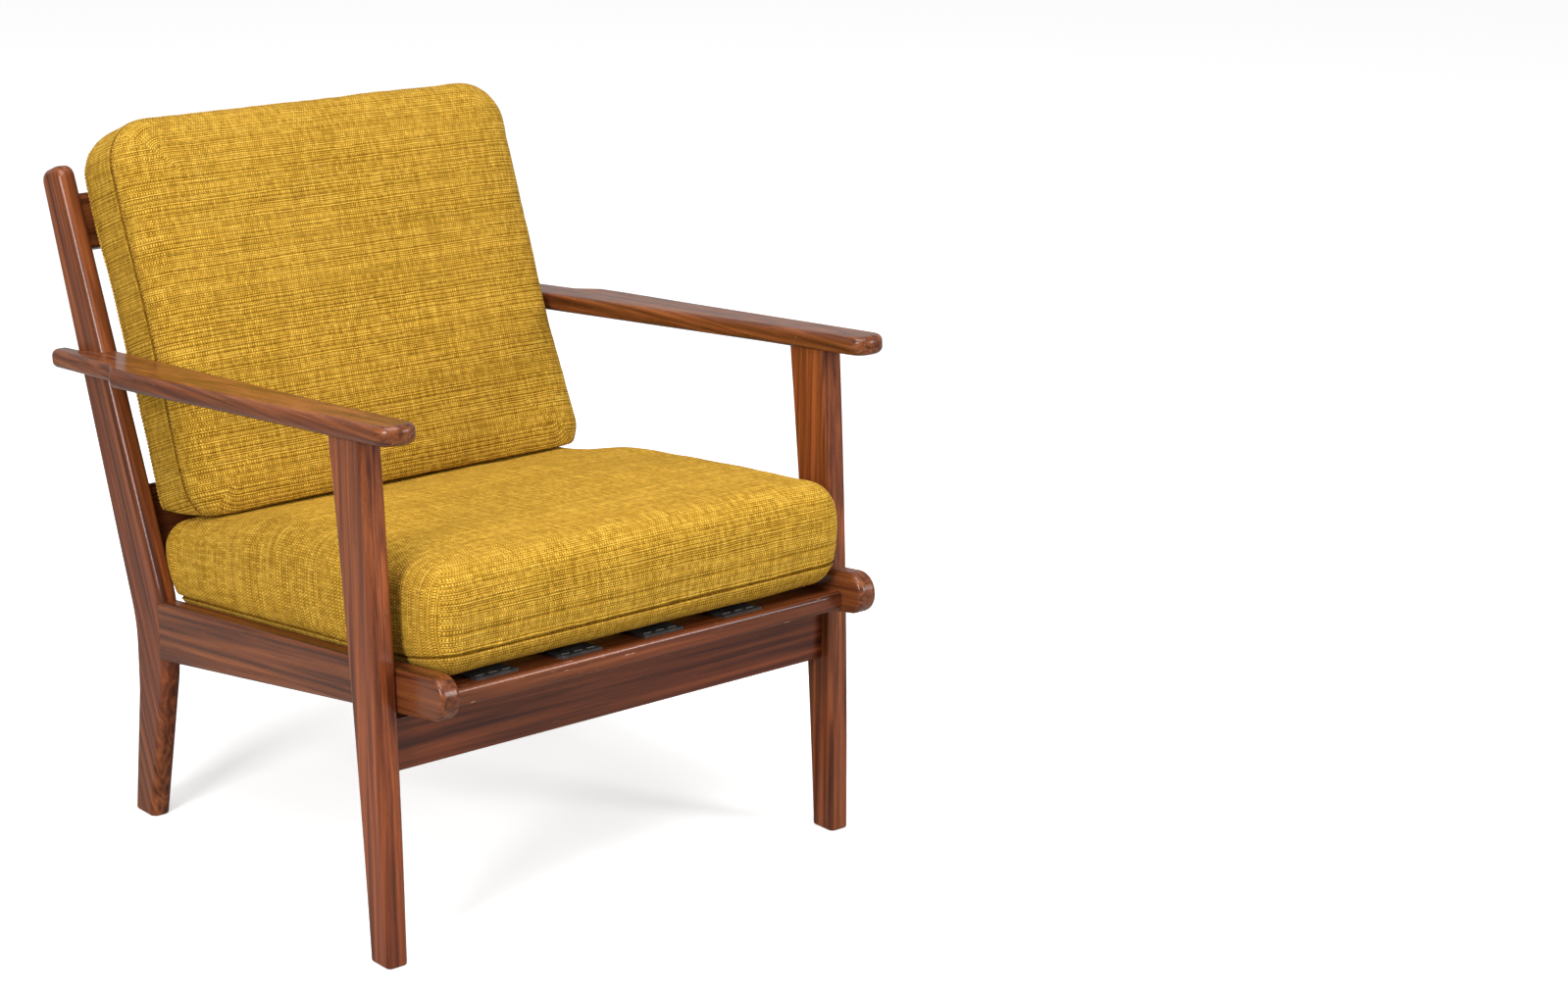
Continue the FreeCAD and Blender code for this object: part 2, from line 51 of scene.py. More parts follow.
def through(points, steps):
    """Points along a smooth line that passes through every given point."""
    line = []
    last = len(points) - 1
    for i in range(last):
        before = points[max(i - 1, 0)]
        start = points[i]
        end = points[i + 1]
        after = points[min(i + 2, last)]
        count = steps[i]
        for k in range(count):
            t = k / count
            line.append(tuple(
                0.5 * (2 * p1 + (p2 - p0) * t + (2 * p0 - 5 * p1 + 4 * p2 - p3) * t * t
                       + (3 * p1 - p0 - 3 * p2 + p3) * t ** 3)
                for p0, p1, p2, p3 in zip(before, start, end, after)))
    line.append(tuple(points[-1]))
    return line


# ------------------------------------------------------------------ shader node helpers
def new_group(name, inputs, outputs):
    """Shader group with its sockets: inputs are name: (type, default), outputs name: type."""
    tree = bpy.data.node_groups.new(name, "ShaderNodeTree")
    for label, (kind, value) in inputs.items():
        socket = tree.interface.new_socket(name=label, in_out="INPUT", socket_type=kind)
        if value is not None:
            socket.default_value = value
    for label, kind in outputs.items():
        tree.interface.new_socket(name=label, in_out="OUTPUT", socket_type=kind)
    return tree, tree.nodes.new("NodeGroupInput"), tree.nodes.new("NodeGroupOutput")


class Wires:
    """Short way to place and connect nodes in one tree."""

    def __init__(self, tree):
        self.tree = tree

    def feed(self, socket, value):
        if isinstance(value, bpy.types.NodeSocket):
            self.tree.links.new(value, socket)
        else:
            socket.default_value = value

    def put(self, kind, *values, **settings):
        placed = self.tree.nodes.new(kind)
        for key, value in settings.items():
            setattr(placed, key, value)
        for index, value in enumerate(values):
            if value is not None:
                self.feed(placed.inputs[index], value)
        return placed

    def math(self, operation, *values):
        return self.put("ShaderNodeMath", *values, operation=operation).outputs[0]

    def vector(self, operation, *values):
        return self.put("ShaderNodeVectorMath", *values, operation=operation).outputs[0]

    def noise(self, vector, scale, detail=2.0, rough=0.5, distortion=0.0):
        placed = self.put("ShaderNodeTexNoise")
        self.feed(placed.inputs["Vector"], vector)
        self.feed(placed.inputs["Scale"], scale)
        self.feed(placed.inputs["Detail"], detail)
        self.feed(placed.inputs["Roughness"], rough)
        self.feed(placed.inputs["Distortion"], distortion)
        return placed.outputs["Fac"]

    def random(self, vector):
        return self.put("ShaderNodeTexWhiteNoise", vector,
                        noise_dimensions="3D").outputs["Value"]

    def combine(self, x=0.0, y=0.0, z=0.0):
        return self.put("ShaderNodeCombineXYZ", x, y, z).outputs[0]

    def split(self, vector):
        return self.put("ShaderNodeSeparateXYZ", vector).outputs

    def map(self, value, low, high, to_low=0.0, to_high=1.0):
        placed = self.put("ShaderNodeMapRange", value, low, high, to_low, to_high)
        placed.interpolation_type = "SMOOTHSTEP"
        return placed.outputs[0]

    def mix(self, part, first, second, blend="MIX"):
        placed = self.tree.nodes.new("ShaderNodeMix")
        placed.data_type = "RGBA"
        placed.blend_type = blend
        self.feed(placed.inputs[0], part)
        self.feed(placed.inputs[6], first)
        self.feed(placed.inputs[7], second)
        return placed.outputs[2]


def new_material(name):
    material = bpy.data.materials.new(name)
    material.use_nodes = True
    tree = material.node_tree
    shader = tree.nodes["Principled BSDF"]
    return material, Wires(tree), shader


# ------------------------------------------------------------------ wood
def make_grain_group():
    """Long-grained timber. Vector runs along the grain in Z; one unit is a metre."""
    tree, start, end = new_group("timber_grain", {
        "Vector": ("NodeSocketVector", None),
        "Dark": ("NodeSocketColor", (0.05, 0.014, 0.006, 1)),
        "Mid": ("NodeSocketColor", (0.17, 0.055, 0.022, 1)),
        "Light": ("NodeSocketColor", (0.30, 0.115, 0.045, 1)),
    }, {"Color": "NodeSocketColor", "Roughness": "NodeSocketFloat",
        "Height": "NodeSocketFloat"})
    w = Wires(tree)
    place = start.outputs["Vector"]
    # broad figure: growth layers drawn out along the plank, slightly wandering
    broad = w.vector("MULTIPLY", place, (34.0, 34.0, 0.9))
    swirl = w.noise(broad, 1.0, 2.0, 0.45, 0.2)
    layers = w.math("SINE", w.math("MULTIPLY", swirl, 46.0))
    layers = w.map(layers, -1.0, 1.0)
    # fibres and pores: fine streaks, then short dark dashes
    fibres = w.noise(w.vector("MULTIPLY", place, (420.0, 420.0, 9.0)), 1.0, 4.0, 0.6)
    streaks = w.noise(w.vector("MULTIPLY", place, (110.0, 110.0, 2.2)), 1.0, 3.0, 0.55)
    pores = w.noise(w.vector("MULTIPLY", place, (900.0, 900.0, 40.0)), 1.0, 2.0, 0.5)
    pores = w.map(pores, 0.62, 0.74)
    tint = w.math("ADD", w.math("MULTIPLY", layers, 0.16), w.math("MULTIPLY", streaks, 0.85))
    tint = w.math("ADD", tint, w.math("MULTIPLY", w.math("SUBTRACT", fibres, 0.5), 0.42))
    warm = w.mix(w.map(tint, 0.20, 0.58), start.outputs["Dark"], start.outputs["Mid"])
    warm = w.mix(w.map(tint, 0.46, 0.92), warm, start.outputs["Light"])
    warm = w.mix(w.math("MULTIPLY", pores, 0.55), warm, start.outputs["Dark"])
    cloud = w.noise(w.vector("MULTIPLY", place, (7.0, 7.0, 2.5)), 1.0, 2.0)
    warm = w.mix(w.map(cloud, 0.35, 0.75, 0.0, 0.30), warm, (0.36, 0.12, 0.05, 1), "SOFT_LIGHT")
    w.feed(end.inputs["Color"], warm)
    w.feed(end.inputs["Roughness"], w.map(w.math("ADD", streaks, w.math("MULTIPLY", pores, 0.3)),
                                          0.3, 0.9, 0.27, 0.44))
    height = w.math("SUBTRACT", w.math("MULTIPLY", fibres, 0.5), w.math("MULTIPLY", pores, 0.6))
    w.feed(end.inputs["Height"], height)
    return tree


def make_wear_group():
    """Pale rubs and nicks where something slides past a wooden edge."""
    tree, start, end = new_group("rubbed_edge", {
        "Vector": ("NodeSocketVector", None),
        "Amount": ("NodeSocketFloat", 0.5),
    }, {"Mask": "NodeSocketFloat"})
    w = Wires(tree)
    place = start.outputs["Vector"]
    long_rub = w.noise(w.vector("MULTIPLY", place, (30.0, 260.0, 260.0)), 1.0, 4.0, 0.65)
    dents = w.noise(place, 150.0, 3.0, 0.6)
    rubs = w.math("MAXIMUM", w.map(long_rub, 0.64, 0.72), w.map(dents, 0.72, 0.76))
    w.feed(end.inputs["Mask"], w.math("MULTIPLY", rubs, start.outputs["Amount"]))
    return tree


def make_dust_group():
    """Faint dulling haze in broad patches."""
    tree, start, end = new_group("handled_haze", {
        "Vector": ("NodeSocketVector", None),
    }, {"Mask": "NodeSocketFloat"})
    w = Wires(tree)
    patches = w.noise(start.outputs["Vector"], 9.0, 5.0, 0.6)
    w.feed(end.inputs["Mask"], w.map(patches, 0.35, 0.8))
    return tree


GRAIN = make_grain_group()
WEAR = make_wear_group()
HAZE = make_dust_group()


def group_node(w, tree, **values):
    placed = w.put("ShaderNodeGroup", node_tree=tree)
    for label, value in values.items():
        w.feed(placed.inputs[label], value)
    return placed.outputs


ALONG_X = (0.0, math.radians(90), 0.0)
ALONG_Y = (math.radians(90), 0.0, 0.0)
UPRIGHT = (0.0, 0.0, 0.0)


def wood(name, turn, shift, tone_and_shade=1.0, red=1.0, wear=0.0, gloss=0.19):
    """Varnished plank with its grain turned to the piece and its own stretch of timber; its tone
    scales the colours, and for the front stretcher that tone is painted shade.
    """
    material, w, shader = new_material(name)
    spot = w.put("ShaderNodeTexCoord").outputs["Object"]
    laid = w.put("ShaderNodeMapping", spot, shift, turn).outputs[0]

    def shade(colour):
        return (colour[0] * tone_and_shade, colour[1] * tone_and_shade / red, colour[2] * tone_and_shade / red, 1)

    grain = group_node(w, GRAIN, Vector=laid, Dark=shade((0.048, 0.012, 0.004)),
                       Mid=shade((0.160, 0.046, 0.014)), Light=shade((0.330, 0.108, 0.032)))
    colour = grain["Color"]
    roughness = grain["Roughness"]
    if wear:
        rubs = group_node(w, WEAR, Vector=spot, Amount=wear)
        colour = w.mix(rubs["Mask"], colour, (0.52, 0.30, 0.19, 1))
        roughness = w.math("ADD", roughness, w.math("MULTIPLY", rubs["Mask"], 0.25))
    haze = group_node(w, HAZE, Vector=spot)
    roughness = w.math("ADD", roughness, w.math("MULTIPLY", haze["Mask"], 0.10))
    w.feed(shader.inputs["Base Color"], colour)
    w.feed(shader.inputs["Roughness"], roughness)
    shader.inputs["Specular IOR Level"].default_value = 0.12
    shader.inputs["Coat Weight"].default_value = 0.45
    shader.inputs["Coat Roughness"].default_value = gloss
    bump = w.put("ShaderNodeBump")
    bump.inputs["Strength"].default_value = 0.10
    bump.inputs["Distance"].default_value = 0.0006
    w.feed(bump.inputs["Height"], grain["Height"])
    w.feed(shader.inputs["Normal"], bump.outputs[0])
    return material


def dress(node, material):
    """Give a CAD piece its finish."""
    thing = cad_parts[node]
    thing.data.materials.clear()
    thing.data.materials.append(material)


LEAN = (BACK_RAKE, 0.0, 0.0)
RAIL = (math.radians(90) + SEAT_SLOPE, 0.0, 0.0)
PLANKS = {
    "rear_leg_left": (LEAN, (0.3, 0.1, 0.0), 1.10, 1.05, 0.15),
    "rear_leg_right": (LEAN, (0.9, 0.4, 0.3), 0.90, 1.0, 0.15),
    "front_leg_left": (UPRIGHT, (0.2, 0.7, 0.1), 1.28, 1.08, 0.10),
    "front_leg_right": (UPRIGHT, (0.6, 0.2, 0.8), 1.22, 1.05, 0.10),
    "armrest_left": (ALONG_Y, (0.1, 0.5, 0.4), 1.0, 0.98, 0.30),
    "armrest_right": (ALONG_Y, (0.7, 0.3, 0.2), 0.95, 1.0, 0.30),
    "side_rail_left": (RAIL, (0.4, 0.8, 0.6), 0.92, 1.02, 0.22),
    "side_rail_right": (RAIL, (0.5, 0.1, 0.9), 0.92, 1.02, 0.22),
    "front_slat": (ALONG_X, (0.8, 0.6, 0.5), 0.88, 1.10, 0.85),
    "rear_slat": (ALONG_X, (0.15, 0.35, 0.55), 0.85, 1.05, 0.2),
    # painted shade: the front stretcher's low tone stands in for the shadow the seat casts on it
    "front_stretcher": (ALONG_X, (0.25, 0.45, 0.65), 0.72, 1.22, 0.10),
    "top_back_rail": (ALONG_X, (0.35, 0.55, 0.75), 0.80, 1.05, 0.15),
    "lower_back_rail": (ALONG_X, (0.45, 0.65, 0.85), 0.85, 1.05, 0.15),
}
for number in range(1, 6):
    PLANKS[f"back_slat_{number}"] = (LEAN, (0.11 * number, 0.2, 0.37 * number), 0.9, 1.03, 0.1)
for node, (turn, shift, tone_and_shade, red, wear) in PLANKS.items():
    dress(node, wood(f"teak_{node}", turn, shift, tone_and_shade, red, wear))


# ------------------------------------------------------------------ hidden hardware
def make_metal():
    material, w, shader = new_material("steel_darkened_painted_shade")
    spot = w.put("ShaderNodeTexCoord").outputs["Object"]
    scuffs = w.noise(spot, 900.0, 4.0, 0.7)
    # steel far darker than plated steel: painted shade for the staples in the shadow under the
    # seat, used for the screws too
    tint = w.mix(scuffs, (0.10, 0.10, 0.095, 1), (0.26, 0.25, 0.24, 1))
    w.feed(shader.inputs["Base Color"], tint)
    w.feed(shader.inputs["Roughness"], w.map(scuffs, 0.3, 0.7, 0.40, 0.60))
    shader.inputs["Metallic"].default_value = 1.0
    return material


def make_beech():
    material, w, shader = new_material("plain_beech")
    spot = w.put("ShaderNodeTexCoord").outputs["Object"]
    flecks = w.noise(w.vector("MULTIPLY", spot, (300.0, 60.0, 300.0)), 1.0, 4.0, 0.6)
    w.feed(shader.inputs["Base Color"], w.mix(flecks, (0.42, 0.25, 0.12, 1), (0.66, 0.47, 0.28, 1)))
    w.feed(shader.inputs["Roughness"], w.map(flecks, 0.3, 0.7, 0.5, 0.7))
    return material


def make_webbing():
    """Rubberised webbing: dark bands ribbed along their length, with woven cross threads."""
    material, w, shader = new_material("rubber_webbing")
    spot = w.split(w.put("ShaderNodeTexCoord").outputs["Object"])
    ribs = w.math("SINE", w.math("MULTIPLY", spot["X"], 2 * math.pi / 0.0031))
    picks = w.math("SINE", w.math("MULTIPLY", spot["Y"], 2 * math.pi / 0.0017))
    lift = w.math("ADD", w.math("MULTIPLY", ribs, 0.7), w.math("MULTIPLY", picks, 0.3))
    bloom = w.noise(w.combine(spot["X"], spot["Y"], spot["Z"]), 60.0, 4.0, 0.6)
    tint = w.mix(w.map(bloom, 0.35, 0.75), (0.018, 0.019, 0.020, 1), (0.070, 0.072, 0.074, 1))
    tint = w.mix(w.map(lift, -1.0, 1.0, 0.45, 0.0), tint, (0.006, 0.006, 0.006, 1))
    w.feed(shader.inputs["Base Color"], tint)
    w.feed(shader.inputs["Roughness"], w.map(bloom, 0.3, 0.7, 0.45, 0.65))
    bump = w.put("ShaderNodeBump")
    bump.inputs["Strength"].default_value = 0.5
    bump.inputs["Distance"].default_value = 0.0005
    w.feed(bump.inputs["Height"], lift)
    w.feed(shader.inputs["Normal"], bump.outputs[0])
    return material


STEEL_PAINTED_SHADE = make_metal()
BEECH = make_beech()
WEBBING = make_webbing()
for node in ("strap_staples", "leg_screws"):
    dress(node, STEEL_PAINTED_SHADE)
for node in ("side_rail_dowels", "armrest_dowels"):
    dress(node, BEECH)
for number in range(1, 5):
    dress(f"seat_strap_{number}", WEBBING)


# ------------------------------------------------------------------ cushion cloth
def make_weave_group():
    """Slubbed tweed: bands of upright floats between fine cross threads. Vector in metres."""
    tree, start, end = new_group("slub_tweed", {
        "Vector": ("NodeSocketVector", None),
        "Thread": ("NodeSocketFloat", 0.0033),
        "Band": ("NodeSocketFloat", 0.0070),
    }, {"Tint": "NodeSocketFloat", "Height": "NodeSocketFloat"})
    w = Wires(tree)
    thread = start.outputs["Thread"]
    band = start.outputs["Band"]
    drift = w.put("ShaderNodeTexNoise")
    w.feed(drift.inputs["Vector"], start.outputs["Vector"])
    drift.inputs["Scale"].default_value = 26.0
    drift.inputs["Detail"].default_value = 3.0
    wander = w.vector("SUBTRACT", drift.outputs["Color"], (0.5, 0.5, 0.5))
    wander = w.vector("MULTIPLY", wander, (0.0020, 0.0026, 0.0))
    spot = w.split(w.vector("ADD", start.outputs["Vector"], wander))
    across = w.math("DIVIDE", spot["X"], thread)
    down = w.math("DIVIDE", spot["Y"], band)
    column = w.math("FLOOR", across)
    row = w.math("FLOOR", down)
    in_row = w.math("FRACT", down)
    # a row's share given to its cross threads varies from row to row
    row_luck = w.random(w.combine(row, 3.0, 1.0))
    share = w.map(row_luck, 0.0, 1.0, 0.25, 0.62)
    is_cross = w.math("LESS_THAN", in_row, share)
    # upright floats: rounded yarns, every one a little different
    float_luck = w.random(w.combine(column, row, 5.0))
    yarn = w.math("ABSOLUTE", w.math("SINE", w.math("MULTIPLY", across, math.pi)))
    ends = w.math("SINE", w.math("MULTIPLY", w.map(in_row, share, 1.0), math.pi))
    upright = w.math("MULTIPLY", w.math("POWER", yarn, 0.7), w.map(ends, 0.0, 0.6, 0.45, 1.0))
    # cross threads: two or three fine picks, dimpled where the uprights pass over
    picks = w.math("ABSOLUTE", w.math("SINE", w.math("MULTIPLY", down, 2.5 * math.pi)))
    dimple = w.math("ABSOLUTE", w.math("COSINE", w.math("MULTIPLY", across, math.pi)))
    cross = w.math("MULTIPLY", w.math("POWER", picks, 0.7), w.map(dimple, 0.0, 1.0, 0.62, 1.0))
    lift = w.math("ADD", w.math("MULTIPLY", upright, w.math("SUBTRACT", 0.92, is_cross)),
                  w.math("MULTIPLY", cross, is_cross))
    # slubs: thick bright lengths of yarn in either direction
    flat = w.combine(spot["X"], spot["Y"], 0.0)
    cross_slub = w.noise(w.vector("MULTIPLY", flat, (13.0, 330.0, 1.0)), 1.0, 2.0, 0.6)
    long_slub = w.noise(w.vector("MULTIPLY", flat, (330.0, 16.0, 1.0)), 1.0, 2.0, 0.6)
    slub = w.math("MAXIMUM", w.map(cross_slub, 0.56, 0.70), w.map(long_slub, 0.60, 0.74, 0, 0.8))
    # rows and columns of the cloth are not dyed quite alike
    shadow = w.noise(w.vector("MULTIPLY", flat, (20.0, 190.0, 1.0)), 1.0, 3.0, 0.6)
    streak = w.noise(w.vector("MULTIPLY", flat, (170.0, 7.0, 1.0)), 1.0, 3.0, 0.6)
    row_tone = w.math("MULTIPLY", w.math("SUBTRACT", w.random(w.combine(row, 9.0, 4.0)), 0.5), 0.10)
    tint = w.math("ADD", w.math("MULTIPLY", lift, 0.74), w.math("MULTIPLY", float_luck, 0.24))
    tint = w.math("ADD", tint, w.math("MULTIPLY", slub, 0.24))
    tint = w.math("SUBTRACT", tint, w.map(shadow, 0.5, 0.8, 0.0, 0.16))
    tint = w.math("ADD", tint, w.math("ADD", row_tone, w.map(streak, 0.35, 0.65, -0.05, 0.05)))
    w.feed(end.inputs["Tint"], tint)
    w.feed(end.inputs["Height"], w.math("ADD", lift, w.math("MULTIPLY", slub, 0.5)))
    return tree


WEAVE = make_weave_group()


def make_cloth(name, light):
    # light scales every colour of the tweed; the seat's paler copy is painted light
    def shade(colour):
        return (colour[0] * light, colour[1] * light, colour[2] * light, 1)

    material, w, shader = new_material(name)
    laid = w.put("ShaderNodeUVMap", uv_map="cloth").outputs[0]
    spot = w.put("ShaderNodeTexCoord").outputs["Object"]
    weave = group_node(w, WEAVE, Vector=laid)
    colour = w.mix(w.map(weave["Tint"], 0.08, 0.62), shade((0.135, 0.062, 0.002)),
                   shade((0.46, 0.240, 0.017)))
    colour = w.mix(w.map(weave["Tint"], 0.50, 1.10), colour, shade((0.86, 0.55, 0.090)))
    fade = w.noise(spot, 5.0, 3.0, 0.55)
    colour = w.mix(w.map(fade, 0.3, 0.8, 0.0, 0.22), colour, (0.60, 0.34, 0.045, 1))
    w.feed(shader.inputs["Base Color"], colour)
    w.feed(shader.inputs["Roughness"], w.map(weave["Height"], 0.0, 1.2, 0.95, 0.80))
    shader.inputs["Sheen Weight"].default_value = 0.15
    shader.inputs["Sheen Roughness"].default_value = 0.45
    shader.inputs["Sheen Tint"].default_value = (0.95, 0.62, 0.12, 1)
    shader.inputs["Specular IOR Level"].default_value = 0.08
    bump = w.put("ShaderNodeBump")
    bump.inputs["Strength"].default_value = 0.9
    bump.inputs["Distance"].default_value = 0.0016
    w.feed(bump.inputs["Height"], weave["Height"])
    w.feed(shader.inputs["Normal"], bump.outputs[0])
    return material


BACK_CLOTH = make_cloth("mustard_tweed_back", 0.96)
SEAT_CLOTH_PAINTED_LIGHT = make_cloth("mustard_tweed_seat_painted_light", 1.13)     # set paler than the back's: painted light, a brighter copy of the same tweed


def make_thread():
    material, w, shader = new_material("mustard_thread")
    spot = w.put("ShaderNodeTexCoord").outputs["Object"]
    twist = w.noise(spot, 700.0, 3.0, 0.6)
    w.feed(shader.inputs["Base Color"], w.mix(twist, (0.30, 0.15, 0.012, 1), (0.72, 0.43, 0.07, 1)))
    w.feed(shader.inputs["Roughness"], w.map(twist, 0.3, 0.7, 0.7, 0.9))
    shader.inputs["Sheen Weight"].default_value = 0.2
    return material


def make_seam_painted_shade():
    """Painted shade for the cloth in a seam groove: darker and flat."""
    material, w, shader = new_material("seam_groove_painted_shade")
    spot = w.put("ShaderNodeTexCoord").outputs["Object"]
    shade_mottle = w.noise(spot, 420.0, 3.0, 0.6)
    w.feed(shader.inputs["Base Color"], w.mix(w.map(shade_mottle, 0.3, 0.7), (0.080, 0.036, 0.002, 1),
                                              (0.28, 0.140, 0.009, 1)))
    w.feed(shader.inputs["Roughness"], w.map(shade_mottle, 0.3, 0.7, 0.85, 0.95))
    shader.inputs["Specular IOR Level"].default_value = 0.05
    return material


THREAD = make_thread()
SEAM_PAINTED_SHADE = make_seam_painted_shade()


# ------------------------------------------------------------------ cushion shapes
def on_outline(u, v, half_x, half_y, near_round, far_round):
    """Square position (u, v in -1..1) laid onto a rectangle with rounded corners."""
    x = u * half_x
    y = v * half_y
    radius = near_round if v < 0 else far_round
    over_x = (abs(x) - (half_x - radius)) / radius
    over_y = (abs(y) - (half_y - radius)) / radius
    if over_x > 0 and over_y > 0:
        turned_x = over_x * math.sqrt(1 - over_y * over_y / 2)
        turned_y = over_y * math.sqrt(1 - over_x * over_x / 2)
        x = math.copysign(half_x - radius + radius * turned_x, x)
        y = math.copysign(half_y - radius + radius * turned_y, y)
    return x, y


def cushion_mesh(name, half_x, half_y, near_round, far_round, profile, steps, shape,
                 matrix, cells):
    """Closed cushion: a face grid, rings down the profile, and a closing grid below.

    profile is (inset from the outline, height) from the upper face's edge to the lower's;
    shape(x, y, height) gives the final local point. Lengths in millimetres.
    """
    across, along = cells
    rings = through(profile, steps)
    loop = ([(i, 0) for i in range(across)] + [(across, j) for j in range(along)]
            + [(i, along) for i in range(across, 0, -1)] + [(0, j) for j in range(along, 0, -1)])

    def flat_point(i, j, inset):
        return on_outline(2 * i / across - 1, 2 * j / along - 1, half_x - inset, half_y - inset,
                          max(near_round - inset, 5.0), max(far_round - inset, 5.0))

    verts = []
    ring_index = []
    for inset, height in rings:
        ring_index.append(range(len(verts), len(verts) + len(loop)))
        for i, j in loop:
            verts.append((*flat_point(i, j, inset), height))
    grids = []
    for side, ring in ((1, 0), (-1, len(rings) - 1)):
        inset, height = rings[ring]
        grid = {}
        for k, place in enumerate(loop):
            grid[place] = ring_index[ring][k]
        for i in range(1, across):
            for j in range(1, along):
                grid[i, j] = len(verts)
                verts.append((*flat_point(i, j, inset), height))
        grids.append((side, grid))

    faces = []
    cloth = []
    for side, grid in grids:
        for i in range(across):
            for j in range(along):
                corners = [grid[i, j], grid[i + 1, j], grid[i + 1, j + 1], grid[i, j + 1]]
                corners = corners if side > 0 else corners[::-1]
                faces.append(corners)
                cloth.append([(verts[c][0], verts[c][1]) for c in corners])
    # rings: the cloth runs on over the edge, so it is measured along the loop and down
    total = len(loop)
    travel = [0.0]
    for (x0, h0), (x1, h1) in zip(rings, rings[1:]):
        travel.append(travel[-1] + math.hypot(x1 - x0, h1 - h0))
    for r in range(len(rings) - 1):
        for k in range(total):
            following = (k + 1) % total
            corners = [ring_index[r][k], ring_index[r + 1][k],
                       ring_index[r + 1][following], ring_index[r][following]]
            faces.append(corners)
            side_x = k < across or across + along <= k < 2 * across + along
            outward = travel[r], travel[r + 1], travel[r + 1], travel[r]
            laid = []
            for corner, far in zip(corners, outward):
                x, y, height = verts[corner]
                if side_x:
                    sign = -1 if k < across else 1
                    laid.append((x, sign * (half_y - rings[0][0] + far)))
                else:
                    sign = 1 if k < across + along else -1
                    laid.append((sign * (half_x - rings[0][0] + far), y))
            cloth.append(laid)

    mesh = bpy.data.meshes.new(name)
    mesh.from_pydata([matrix @ Vector([c * MM for c in shape(*v)]) for v in verts], [], faces)
    layer = mesh.uv_layers.new(name="cloth")
    for polygon, laid in zip(mesh.polygons, cloth):
        polygon.use_smooth = True
        for loop_index, (u, v) in zip(polygon.loop_indices, laid):
            layer.data[loop_index].uv = (u * MM, v * MM)
    mesh.update()
    piece = bpy.data.objects.new(name, mesh)
    bpy.context.collection.objects.link(piece)
    return piece, ring_index


PUCKER_REACH = 0.035                 # how far from a seam its puckers die out


def crease(piece, seams, seed, soft, pucker):
    """Small puckers across each seam and a slack unevenness over the faces."""
    mesh = piece.data
    mesh.update()
    normals = [v.normal.copy() for v in mesh.vertices]
    lines = [[mesh.vertices[i].co.copy() for i in seam] for seam in seams]
    tree = KDTree(sum(len(line) for line in lines))
    for number, spot in enumerate(p for line in lines for p in line):
        tree.insert(spot, number)
    tree.balance()
    for vertex, normal in zip(mesh.vertices, normals):
        spot = vertex.co
        _, _, away = tree.find(spot)
        shift = soft * noise.noise(spot * 9.0 + Vector((seed, 0, 0)))
        shift += soft * 0.5 * noise.noise(spot * 23.0 + Vector((0, seed, 0)))
        near = 1 - smooth(0.0, PUCKER_REACH, away)
        if near > 0:
            shift += pucker * near * noise.noise(spot * 62.0 + Vector((0, 0, seed)))
        vertex.co = spot + normal * shift
    mesh.update()


def basis(x_axis, y_axis, z_axis, origin):
    return Matrix([[x_axis[r], y_axis[r], z_axis[r], origin[r]] for r in range(3)]
                  + [[0, 0, 0, 1]])


# seat cushion: lies on the webbing; one panel wraps over the top, front and sides
slope_sin, slope_cos = math.sin(SEAT_SLOPE), math.cos(SEAT_SLOPE)
SEAT_PLACE = basis((1, 0, 0), (0, slope_cos, -slope_sin), (0, slope_sin, slope_cos),
                   (0, -0.1085, 0.3034))
SEAT_PROFILE = [(52, 140), (32, 137.5), (16, 130), (6, 117), (1.5, 101), (0, 78), (1, 56),
                (3.5, 42), (4.5, 36.5), (8.5, 34), (6, 31), (9.5, 24), (17, 15.5), (28, 8.5),
                (44, 4.5), (70, 2.5), (110, 2)]
SEAT_STEPS = [5, 5, 5, 4, 5, 5, 4, 3, 3, 3, 2, 3, 3, 4, 4, 4]
SEAT_SEAM_STEP = sum(SEAT_STEPS[:9])
SEAT_CELLS = (116, 112)
SEAT_HALF_X = 301
SEAT_HALF_Y = 294


def seat_top(x, y):
    """Height of the seat's upper face; the back cushion presses its rear down."""
    pressed = smooth(60, 240, y)
    free = 144 - 5 * smooth(-60, -290, y) - 2 * smooth(190, 296, abs(x))
    return free * (1 - pressed) + 125 * pressed


def seat_shape(x, y, height):
    lifted = height + (seat_top(x, y) - 140) * smooth(70, 128, height)
    lean = -6 * smooth(36, 105, height) * smooth(-150, -290, y)
    slack = 1.5 * (1 - (y / 292) ** 2) * smooth(200, 297, abs(x))
    ears = smooth(235, 290, y) * smooth(235, 290, abs(x)) * smooth(30, 90, height)
    outward = 3 * ears - slack
    # along the sides the seam sits lower, down beside the rails
    low_seam = smooth(200, 290, abs(x)) * smooth(-285, -190, y)
    lifted -= 9 * low_seam * smooth(5, 30, height) * (1 - smooth(45, 110, height))
    outward -= 4 * low_seam * (1 - smooth(20, 34, lifted))
    return x + (outward if x > 0 else -outward), y + lean + 4 * ears, lifted


seat_cover, seat_loops = cushion_mesh(
    "seat_cushion_fabric", SEAT_HALF_X, SEAT_HALF_Y, 40, 22, SEAT_PROFILE, SEAT_STEPS, seat_shape,
    SEAT_PLACE, SEAT_CELLS)
crease(seat_cover, [seat_loops[SEAT_SEAM_STEP]], 3.7, 0.0014, 0.0010)

